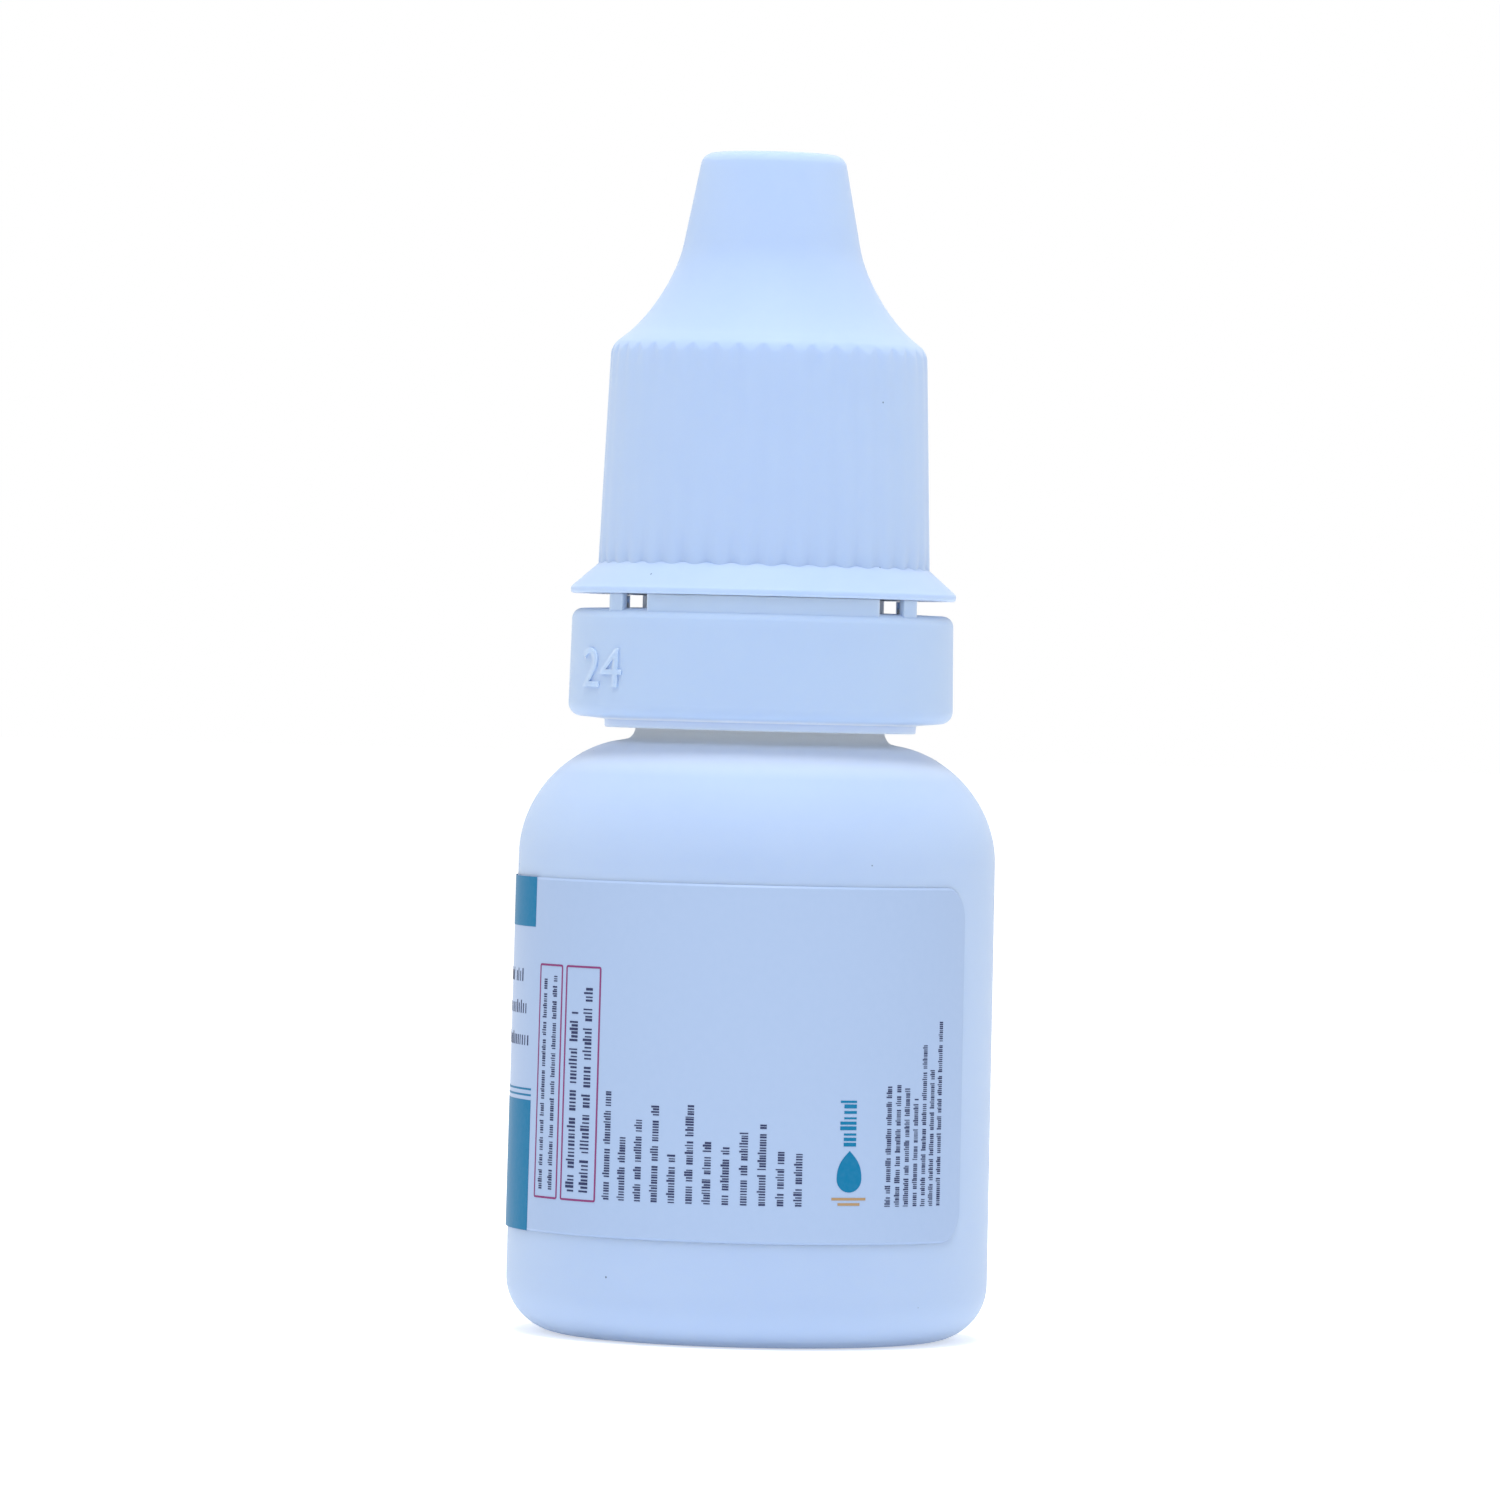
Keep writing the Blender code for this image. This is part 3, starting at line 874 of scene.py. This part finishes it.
@dataclass
class DropperPlug(Piece):
    """The plug pressed into the neck, with its seals, flange and drop nozzle."""

    name = "dropper_nozzle"
    node = "dropper_plug"
    body = "container"
    slot = "dropper_ldpe"
    finish = DROPPER_LDPE

    steps: int = 120
    plug_length: float = 6.00 * MM
    barrel: float = 4.35 * MM
    seal: float = 4.52 * MM
    seal_height: float = 0.70 * MM
    seal_fillet: float = 0.15 * MM
    seal_shares: tuple[float, float] = (0.12, 0.62)
    plug_wall: float = 1.00 * MM
    plug_taper: float = 0.25 * MM
    flange: float = 5.15 * MM
    flange_height: float = 1.00 * MM
    flange_fillet: float = 0.25 * MM
    nozzle: float = 3.00 * MM
    nozzle_root_fillet: float = 0.80 * MM
    tip: float = 1.50 * MM
    tip_fillet: float = 0.45 * MM
    nozzle_wall: float = 1.00 * MM
    mouth: float = 0.65 * MM
    mouth_depth: float = 1.20 * MM
    orifice: float = 0.25 * MM
    orifice_length: float = 0.80 * MM
    funnel_length: float = 0.60 * MM
    edge: float = 0.12 * MM

    def model(self) -> BMesh:
        """Turn the plug. Heights are measured from the seat on the neck's lip.

        Returns:
            The plug in place.
        """
        low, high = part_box(self.node)
        seat = low.z + self.plug_length
        top = high.z - seat
        throat = top - self.mouth_depth - self.orifice_length
        funnel = throat - self.funnel_length
        lean = (self.nozzle - self.tip) / (top - self.flange_height)
        funnel_radius = self.tip + lean * (top - funnel) - self.nozzle_wall
        inner = self.barrel - self.plug_wall
        corners = [
            Corner(self.orifice, throat),
            Corner(self.orifice, throat + self.orifice_length),
            Corner(self.mouth, top, self.edge),
            Corner(self.tip, top, self.tip_fillet),
            Corner(self.nozzle, self.flange_height, self.nozzle_root_fillet),
            Corner(self.flange, self.flange_height, self.flange_fillet),
            Corner(self.flange, 0, self.edge),
            Corner(self.barrel, 0),
        ]
        for share in self.seal_shares:
            ridge = -self.plug_length * share
            corners += [
                Corner(self.barrel, ridge, self.seal_fillet),
                Corner(self.seal, ridge - self.seal_height / 2, self.seal_fillet),
                Corner(self.barrel, ridge - self.seal_height, self.seal_fillet),
            ]
        corners += [
            Corner(self.barrel - self.plug_taper, -self.plug_length, self.edge),
            Corner(inner, -self.plug_length, self.edge),
            Corner(inner, 0, self.edge),
            Corner(self.nozzle - self.nozzle_wall, self.flange_height, self.edge),
            Corner(funnel_radius, funnel, self.edge),
        ]
        mesh = turned(corners, self.steps, closed=True)
        bmesh.ops.translate(mesh, verts=mesh.verts[:], vec=(0, 0, seat))
        return mesh

    def depth(self, place: Vector, normal: Vector) -> float:
        """Paint light over the whole plug."""
        return 1.0


@dataclass
class TamperRing(Piece):
    """The ring under the cap, with its frangible bridges and webs and its raised plain number."""

    name = "tear_ring"
    node = "tamper_ring"
    body = "band"
    slot = "ring_hdpe"
    finish = RING_HDPE

    steps: int = 240
    bore: float = 6.15 * MM
    draft: float = 0.09 * MM
    height: float = 5.58 * MM
    top_fillet: float = 0.50 * MM
    foot_fillet: float = 0.60 * MM
    underside_rise: float = 0.55 * MM
    collar_reach: float = 1.10 * MM
    collar_drop: float = 0.38 * MM
    collar_fillet: float = 0.10 * MM
    deck_fall: float = 0.08 * MM
    groove: float = 6.75 * MM
    groove_foot: float = 2.44 * MM
    groove_top: float = 4.14 * MM
    edge: float = 0.08 * MM
    bridges: int = 8
    bridge_width: float = 1.80 * MM
    bridge_inner: float = 6.50 * MM
    bridge_thickness: float = 0.50 * MM
    bridge_foot: float = 0.23 * MM
    bridge_inset: float = 0.10 * MM
    bridge_sink: float = 0.40 * MM
    bridge_edge: float = 0.05 * MM
    bridge_facets: int = 2
    web_radius: float = 8.72 * MM
    web_thickness: float = 0.30 * MM
    web_gap: float = 0.02 * MM
    # The middle and the width of each web in degrees, from the front and from the back
    webs: tuple[tuple[float, float], ...] = ((0.0, 75.5), (-51.2, 6.2), (51.2, 6.2))
    # Shares of painted light on the collar's outer face and on the webs
    collar_painted_light_share: float = 0.32
    web_painted_light_share: float = 0.13
    outward_share: float = 0.5
    number: str = "24"
    number_facets: int = 4
    number_columns: int = 12
    number_height: float = 1.80 * MM
    number_width: float = 3.10 * MM
    number_foot: float = 30.03 * MM
    number_angle: float = math.radians(-56)
    number_raise: float = 0.09 * MM
    number_sink: float = 0.12 * MM

    def __post_init__(self) -> None:
        """Read the shared sizes from the frame."""
        low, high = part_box(self.node)
        self.radius = high.x
        self.foot = low.z
        self.deck = low.z + self.height
        self.bridge_top = high.z
        self.cap_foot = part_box("cap")[0].z
        self.collar = self.bore + self.collar_reach

    def section(self) -> list[Corner]:
        """List the ring's half section.

        Returns:
            Its corners, from the inner edge of the collar.
        """
        foot = self.foot
        deck_share = (self.collar - self.bore) / (self.radius - self.bore)
        return [
            Corner(self.bore, foot, self.edge),
            Corner(self.collar, foot, self.collar_fillet),
            Corner(self.collar, foot + self.collar_drop, self.edge),
            Corner(self.radius, foot + self.underside_rise, self.foot_fillet),
            Corner(self.radius - self.draft, self.deck - self.deck_fall, self.top_fillet),
            Corner(self.collar, self.deck - self.deck_fall * deck_share),
            Corner(self.bore, self.deck, self.edge),
            Corner(self.bore, foot + self.groove_top, self.edge),
            Corner(self.groove, foot + self.groove_top, self.edge),
            Corner(self.groove, foot + self.groove_foot, self.edge),
            Corner(self.bore, foot + self.groove_foot, self.edge),
        ]

    def bridge_posts(self) -> BMesh:
        """Make the posts that hold the ring to the cap until they tear.

        Returns:
            The posts in place.
        """
        low = self.deck - self.bridge_sink
        step = self.deck + self.bridge_foot
        outer = self.bridge_inner + self.bridge_thickness
        heel = self.bore + self.bridge_inset
        profile = (
            (heel, low),
            (outer, low),
            (outer, self.bridge_top),
            (self.bridge_inner, self.bridge_top),
            (self.bridge_inner, step),
            (heel, step),
        )
        mesh = bmesh.new()
        for k in range(self.bridges):
            near = [mesh.verts.new((radius, -self.bridge_width / 2, height)) for radius, height in profile]
            far = draw_out(mesh, [mesh.faces.new(near)], (0, self.bridge_width, 0))
            turn = Matrix.Rotation(math.tau * k / self.bridges, 3, "Z")
            bmesh.ops.rotate(mesh, verts=near + far, cent=(0, 0, 0), matrix=turn)
        bmesh.ops.recalc_face_normals(mesh, faces=mesh.faces)
        bevel(mesh, mesh.edges[:], self.bridge_edge, self.bridge_facets, "EDGES")
        return mesh

    def tear_web(self, middle: float, width: float) -> BMesh:
        """Make one of the thin webs that close the tear line between the bridges.

        Args:
            middle: The angle of its middle.
            width: The angle that it spans.

        Returns:
            The web in place.
        """
        half = width / 2 * self.web_radius
        flat = Drawing()
        flat.panel((-half, half, self.deck - self.bridge_sink, self.cap_foot - self.web_gap))
        thicken(flat.mesh, -self.web_thickness, 0.0)
        cut_columns(flat.mesh, self.web_thickness)
        wrap(flat.mesh, lambda height: self.web_radius, self.web_radius, middle)
        return flat.mesh

    def raised_number(self) -> BMesh:
        """Make the plain mould number on the ring's wall.

        Returns:
            The number in place.
        """
        curve = bpy.data.curves.new("number", "FONT")
        curve.body = self.number
        curve.align_x = "CENTER"
        curve.resolution_u = self.number_facets
        text = bpy.data.objects.new("number", curve)
        bpy.context.scene.collection.objects.link(text)
        bpy.context.view_layer.update()
        data = bpy.data.meshes.new_from_object(text.evaluated_get(bpy.context.evaluated_depsgraph_get()))
        mesh = bmesh.new()
        mesh.from_mesh(data)
        bpy.data.objects.remove(text)
        bpy.data.curves.remove(curve)
        bpy.data.meshes.remove(data)
        bmesh.ops.remove_doubles(mesh, verts=mesh.verts, dist=WELD)
        lows = Vector((min(v.co.x for v in mesh.verts), min(v.co.y for v in mesh.verts)))
        highs = Vector((max(v.co.x for v in mesh.verts), max(v.co.y for v in mesh.verts)))
        size = highs - lows
        for vert in mesh.verts:
            across = (vert.co.x - (lows.x + highs.x) / 2) / size.x * self.number_width
            up = (vert.co.y - lows.y) / size.y * self.number_height
            vert.co = (across, 0.0, self.number_foot + up)
        whole = {"verts": mesh.verts[:], "edges": mesh.edges[:]}
        bmesh.ops.dissolve_limit(mesh, angle_limit=FLAT_ANGLE, delimit=set(), **whole)
        thicken(mesh, -self.number_sink, self.number_raise)
        cut_columns(mesh, self.number_height / self.number_columns)
        lean = self.draft / (self.height - self.underside_rise)
        base = self.foot + self.underside_rise
        start = FRONT + self.number_angle
        wrap(mesh, lambda height: self.radius - lean * (height - base), self.radius, start)
        return mesh

    def model(self) -> BMesh:
        """Turn the ring, and grow its bridges, its webs and its number.

        Returns:
            The ring in place.
        """
        ring = turned(self.section(), self.steps, closed=True)
        webs = (
            self.tear_web(side + math.radians(middle), math.radians(width))
            for side in (FRONT, -FRONT)
            for middle, width in self.webs
        )
        return united(ring, self.bridge_posts(), self.raised_number(), *webs)

    def depth(self, place: Vector, normal: Vector) -> float:
        """Paint light fully on the bore, the bridges and the inner deck, less on the collar and the webs, and
        fade it out across the deck.
        """
        collar_top = self.foot + self.collar_drop + WELD
        if place.z < collar_top and normal.xy.dot(place.xy.normalized()) > self.outward_share:
            return self.collar_painted_light_share
        web_inner = self.web_radius - self.web_thickness - WELD
        if place.z > self.deck - 2 * self.deck_fall and place.xy.length > web_inner:
            return self.web_painted_light_share
        return fading(place.xy.length, self.collar, self.radius - self.top_fillet)


@dataclass
class Cap(Piece):
    """The fluted screw cap, with its flange, its conical nose, its thread and its sealing pin."""

    name = "screw_cap"
    node = "cap"
    body = "closure"
    slot = "cap_hdpe"
    finish = CAP_HDPE

    flutes: int = 40
    steps_per_flute: int = 12
    flute_depth: float = 0.018 * MM
    flute_foot_depth: float = 0.115 * MM
    flute_top_depth: float = 0.15 * MM
    flute_fade: float = 18.0
    flute_narrowing: float = 1.25
    # Where along the skirt the flutes' depth is set, as shares of its height
    flute_shares: tuple[float, ...] = (0.95, 0.9, 0.84, 0.76, 0.6, 0.4, 0.24, 0.16, 0.1, 0.05, 0.02)
    bore: float = 6.40 * MM
    wall: float = 0.96 * MM
    draft: float = 0.36 * MM
    bore_top: float = 10.84 * MM
    shoulder_wall: float = 0.72 * MM
    shoulder_fillet: float = 0.85 * MM
    flange_lip: float = 0.30 * MM
    flange_edge: float = 0.13 * MM
    flange_rise: float = 1.10 * MM
    waist_bore: float = 3.65 * MM
    waist_share: float = 0.24
    waist_fillet: float = 7.20 * MM
    waist_drop: float = 0.50 * MM
    nose_bore: float = 2.50 * MM
    nose_wall: float = 0.80 * MM
    nose_fillet: float = 0.60 * MM
    top_wall: float = 0.97 * MM
    dome: float = 0.15 * MM
    pin: float = 0.45 * MM
    pin_length: float = 1.50 * MM
    pin_tip_share: float = 0.75
    edge: float = 0.10 * MM
    thread_crest: float = 5.66 * MM
    thread_foot: float = 36.98 * MM
    thread_turns: float = 1.5

    def __post_init__(self) -> None:
        """Read the shared sizes from the frame."""
        low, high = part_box(self.node)
        self.radius = high.x
        self.foot = low.z
        self.nose_edge = high.z - self.dome
        skirt = self.bore + self.wall
        self.skirt_foot = Vector((skirt + self.draft, self.foot + self.flange_lip + self.flange_rise))
        self.skirt_top = Vector((skirt, self.foot + self.bore_top + self.shoulder_wall))

    def section(self) -> list[Corner]:
        """List the half section.

        Returns:
            Its corners, from the top of the nose down the outside and up the inside.
        """
        bore_top = self.foot + self.bore_top
        roof = self.nose_edge - self.top_wall
        waist = self.skirt_top.y + self.waist_share * (self.nose_edge - self.skirt_top.y)
        return [
            Corner(0, self.nose_edge + self.dome),
            Corner(self.nose_bore + self.nose_wall, self.nose_edge, self.nose_fillet),
            Corner(self.waist_bore + self.wall, waist, self.waist_fillet),
            Corner(*self.skirt_top, self.shoulder_fillet),
            *(Corner(*self.skirt_foot.lerp(self.skirt_top, share)) for share in self.flute_shares),
            Corner(*self.skirt_foot),
            Corner(self.radius, self.foot + self.flange_lip, self.flange_edge),
            Corner(self.radius, self.foot, self.flange_edge),
            Corner(self.bore, self.foot, self.edge),
            Corner(self.bore, bore_top, self.edge),
            Corner(self.waist_bore, waist - self.waist_drop, self.waist_fillet),
            Corner(self.nose_bore, roof, self.edge),
            Corner(self.pin, roof, self.edge),
            Corner(self.pin * self.pin_tip_share, roof - self.pin_length, self.edge),
            Corner(0, roof - self.pin_length),
        ]

    def cut_flutes(self, mesh: BMesh) -> None:
        """Draw the skirt in along the flutes, whose feet climb the flange's slope.

        Args:
            mesh: The turned cap.
        """
        foot, top = self.skirt_foot, self.skirt_top
        lean = (top.x - foot.x) / (top.y - foot.y)
        slope = self.flange_rise / (self.radius - foot.x)
        for vert in mesh.verts:
            radius = vert.co.xy.length
            if vert.co.z < foot.y - WELD or radius < self.bore + self.wall / 2:
                continue
            angle = math.atan2(vert.co.y, vert.co.x)
            groove = ((1 - math.sin(self.flutes * angle)) / 2) ** self.flute_narrowing
            climb = min(1.0, max(0.0, (vert.co.z - foot.y) / (top.y - foot.y)))
            depth = self.flute_depth
            depth += (self.flute_foot_depth - self.flute_depth) * (1 - climb) ** self.flute_fade
            depth += (self.flute_top_depth - self.flute_depth) * climb**self.flute_fade
            limit = foot.x + lean * (vert.co.z - foot.y) - depth * groove
            if radius <= limit:
                continue
            if vert.co.z < foot.y + WELD:
                vert.co.z += slope * (radius - limit)
            vert.co.xy *= limit / radius

    def model(self) -> BMesh:
        """Turn the cap, cut its flutes and grow its thread.

        Returns:
            The cap in place.
        """
        mesh = turned(self.section(), self.flutes * self.steps_per_flute)
        self.cut_flutes(mesh)
        return united(mesh, thread_ridge(self.bore, self.thread_crest, self.thread_foot, self.thread_turns))

    def depth(self, place: Vector, normal: Vector) -> float:
        """Paint light fully on the inside, and fade it out across the flange's underside."""
        if place.z < self.foot + WELD:
            return fading(place.xy.length, self.bore + self.wall, self.radius)
        return float(faces_in(place, normal, self.foot))


@dataclass
class Label(Piece):
    """The printed label: a thin sheet with rounded corners, wrapped round most of the bottle."""

    name = "label_sheet"
    node = "label"
    body = "container"
    slot = "label_paper"
    finish = PAPER

    bottle: Bottle
    start: float = math.radians(-234)
    end: float = math.radians(60)
    corner: float = 1.50 * MM
    gap: float = 0.005 * MM
    thickness: float = 0.115 * MM
    rim: float = 0.10 * MM
    column: float = 0.30 * MM

    def __post_init__(self) -> None:
        """Read the shared sizes from the frame."""
        low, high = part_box(self.node)
        self.foot = low.z
        self.top = high.z

    @property
    def reach(self) -> float:
        """The radius at which a length on the label keeps its size."""
        return self.bottle.radius + self.gap + self.thickness

    def wrap_on(self, mesh: BMesh, wide: bool = True) -> None:
        """Wrap a flat mesh on the bottle's wall. X is zero at the front.

        Args:
            mesh: The mesh to wrap.
            wide: Whether it holds faces wide enough to need cutting.
        """
        if wide:
            cut_columns(mesh, self.column)
        wrap(mesh, self.bottle.wall_radius, self.reach)

    def model(self) -> BMesh:
        """Cut the sheet flat and wrap it on the bottle.

        Returns:
            The label in place.
        """
        flat = Drawing()
        flat.panel((self.start * self.reach, self.end * self.reach, self.foot, self.top), self.corner)
        thicken(flat.mesh, self.gap, self.gap + self.thickness)
        face = -self.gap - self.thickness + WELD
        rim = [edge for edge in flat.mesh.edges if all(vert.co.y < face for vert in edge.verts)]
        bevel(flat.mesh, rim, self.rim, 1, "EDGES")
        self.wrap_on(flat.mesh)
        return flat.mesh


@dataclass
class Print(Piece):
    """What one ink prints on the label, as a film on its face."""

    node = "label"
    body = "container"
    slot = "label_paper"

    label: Label
    ink: Ink
    film: float = 0.010 * MM
    clearance: float = 0.003 * MM
    frame_line: float = 0.09 * MM
    frame_corner: float = 0.12 * MM
    seed: int = 5

    @property
    def name(self) -> str:
        """The piece's name, after its ink."""
        return "print_" + self.ink.name.lower()

    @property
    def finish(self) -> Ink:
        """The piece's finish, its ink."""
        return self.ink

    def model(self) -> BMesh:
        """Draw what the ink prints and wrap it on the label.

        Returns:
            The print in place.
        """
        layout = LAYOUTS[self.ink]
        draw = random.Random(self.seed)
        flat = Drawing()
        for sides in layout.panels:
            flat.panel(metres(*sides))
        for sides in layout.frames:
            flat.outline(metres(*sides), self.frame_line, self.frame_corner)
        for drop in layout.drops:
            flat.drop(*metres(*drop))
        for block in layout.blocks:
            flat.ticks(block, draw)
        bmesh.ops.translate(flat.mesh, verts=flat.mesh.verts[:], vec=(0, 0, self.label.foot))
        face = self.label.gap + self.label.thickness + self.clearance
        thicken(flat.mesh, face, face + self.film)
        self.label.wrap_on(flat.mesh, wide=self.ink is not Ink.NAVY)
        return flat.mesh


@dataclass
class Studio:
    """A plain pale floor, a white surround and one soft lamp overhead."""

    world_level: float = 0.71
    floor_half: float = 3.0
    floor_colour: str = "F4F4F4"
    floor_glow: float = 0.45
    table_level: float = 0.22
    lamp_width: float = 0.18
    lamp_depth: float = 0.26
    lamp_power: float = 1.16
    lamp_place: tuple[float, float, float] = (0.0, -0.11, 0.40)
    lamp_aim: tuple[float, float, float] = (0.0, 0.0, 0.035)

    def make_world(self) -> None:
        """Make the surround, which lights evenly and shows as plain white."""
        world = bpy.data.worlds.new("surround")
        bpy.context.scene.world = world
        world.use_nodes = True
        tree = world.node_tree
        tree.nodes.clear()
        level = {"Value": shows_surround(tree), "To Min": self.world_level, "To Max": 1.0}
        level = add_node(tree, "MapRange", level)
        surround = add_node(tree, "Background", {"Color": WHITE, "Strength": level["Result"]})
        add_node(tree, "OutputWorld", {"Surface": surround[0]})

    def make_floor(self) -> None:
        """Make the floor, which shows white but keeps the bottle's shadow."""
        mesh = bmesh.new()
        bmesh.ops.create_grid(mesh, x_segments=1, y_segments=1, size=self.floor_half)
        floor = new_object("floor", mesh)
        material, tree = new_tree("floor_paint")
        levels = {"Value": shows_surround(tree), "To Min": self.table_level, "To Max": self.floor_glow}
        glow = add_node(tree, "MapRange", levels)
        paint = add_node(tree, "BsdfDiffuse", {"Color": linear(self.floor_colour)})
        light = add_node(tree, "Emission", {"Color": WHITE, "Strength": glow[0]})
        both = add_node(tree, "AddShader", {0: paint[0], 1: light[0]})
        add_node(tree, "OutputMaterial", {"Surface": both[0]})
        floor.data.materials.append(material)

    def make_lamp(self) -> None:
        """Hang the soft lamp over the bottle, a little to the front."""
        lamp = bpy.data.lights.new("soft_lamp", "AREA")
        lamp.shape = "RECTANGLE"
        lamp.size = self.lamp_width
        lamp.size_y = self.lamp_depth
        lamp.energy = self.lamp_power
        thing = bpy.data.objects.new("soft_lamp", lamp)
        bpy.context.scene.collection.objects.link(thing)
        thing.location = self.lamp_place
        way = Vector(self.lamp_aim) - Vector(self.lamp_place)
        thing.rotation_euler = way.to_track_quat("-Z", "Y").to_euler()

    def make(self) -> None:
        """Set up the whole studio."""
        self.make_world()
        self.make_floor()
        self.make_lamp()
        bpy.context.scene.view_settings.view_transform = "Standard"


@dataclass
class PhotoCamera:
    """The camera at the photograph's viewing angle."""

    frame_px: float = 1500.0
    px_per_metre: float = 21470.0
    distance: float = 0.450
    height: float = 0.031
    aim_height: float = 0.02725
    axis_px: float = 9.6
    lean: float = math.radians(1.42)
    sensor: float = 36.0
    clip_shares: tuple[float, float] = (0.1, 20.0)

    def make(self) -> None:
        """Place the camera and make it the scene's."""
        lens = bpy.data.cameras.new("photo_camera")
        lens.sensor_width = self.sensor
        lens.lens = self.px_per_metre * self.distance / self.frame_px * self.sensor
        lens.clip_start, lens.clip_end = (self.distance * share for share in self.clip_shares)
        camera = bpy.data.objects.new("photo_camera", lens)
        bpy.context.scene.collection.objects.link(camera)
        aim = Vector((-self.axis_px / self.px_per_metre, 0.0, self.aim_height))
        camera.location = (aim.x, -self.distance, self.height)
        look = (aim - camera.location).to_track_quat("-Z", "Y").to_matrix()
        camera.rotation_euler = (look @ Matrix.Rotation(self.lean, 3, "Z")).to_euler()
        bpy.context.scene.camera = camera


def main() -> None:
    """Build the studio, the camera and each piece in turn."""
    logging.basicConfig(level=logging.INFO, format="%(name)s: %(message)s")
    Studio().make()
    PhotoCamera().make()
    bottle = Bottle()
    label = Label(bottle)
    pieces: list[Piece] = [bottle, DropperPlug(), TamperRing(), Cap(), label]
    pieces += [Print(label, ink) for ink in Ink]
    for piece in pieces:
        piece.make()


if __name__ == "__main__":
    main()
